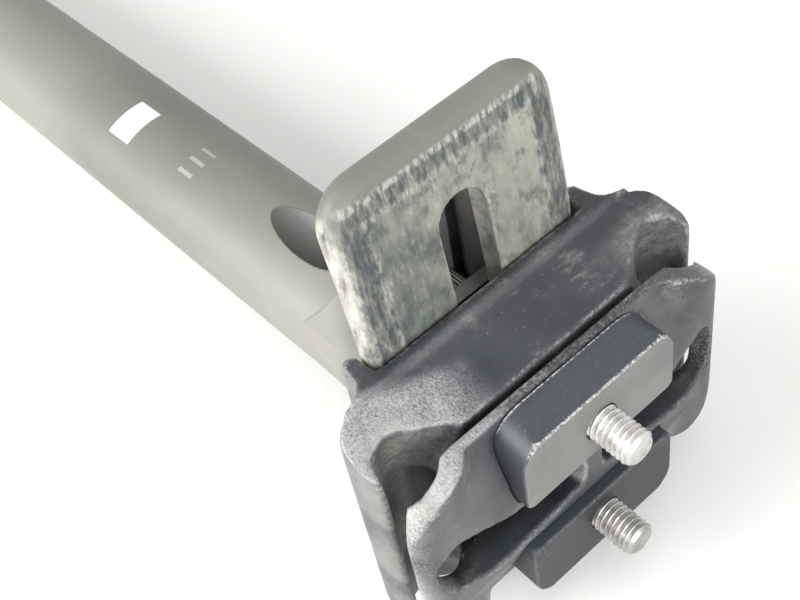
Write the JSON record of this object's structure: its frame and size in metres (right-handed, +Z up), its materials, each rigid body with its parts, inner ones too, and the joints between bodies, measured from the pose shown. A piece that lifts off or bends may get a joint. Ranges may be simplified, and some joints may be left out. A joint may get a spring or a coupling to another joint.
{
  "type": "bicycle seatpost",
  "caption": "Slim D-section bicycle seatpost with a long slotted curved deck and a bolted clamp that holds the saddle's rails and slides along the deck to set the saddle's tilt.",
  "frame": {"origin": "centre of the post's section at its lower end", "axes": "+Z up along the clamp bolts with the saddle rails level, -Y to the rear of the bicycle, +X across it; the post leans back from +Z"},
  "size_m": [0.0544, 0.0798, 0.3057],
  "materials": {
    "post_black": "satin anodised",
    "clamp_black": "forged, black anodised",
    "nut_grey": "satin anodised",
    "bolt_steel": "zinc plated"
  },
  "bodies": {
    "post": {"seatpost_body": "post_black"},
    "saddle_clamp": {"lower_clamp": "clamp_black", "upper_clamp": "clamp_black", "rear_nut_plate": "nut_grey", "front_nut_plate": "nut_grey", "rear_bolt": "bolt_steel", "front_bolt": "bolt_steel", "rear_washer": "bolt_steel", "front_washer": "bolt_steel"}
  },
  "joints": [
    {"name": "saddle_tilt", "type": "hinge", "parent": "post", "child": "saddle_clamp", "pos_m": [0, -0.02104, 0.0401], "axis": [1, 0, 0], "range_deg": [-0.5, 5]}
  ]
}
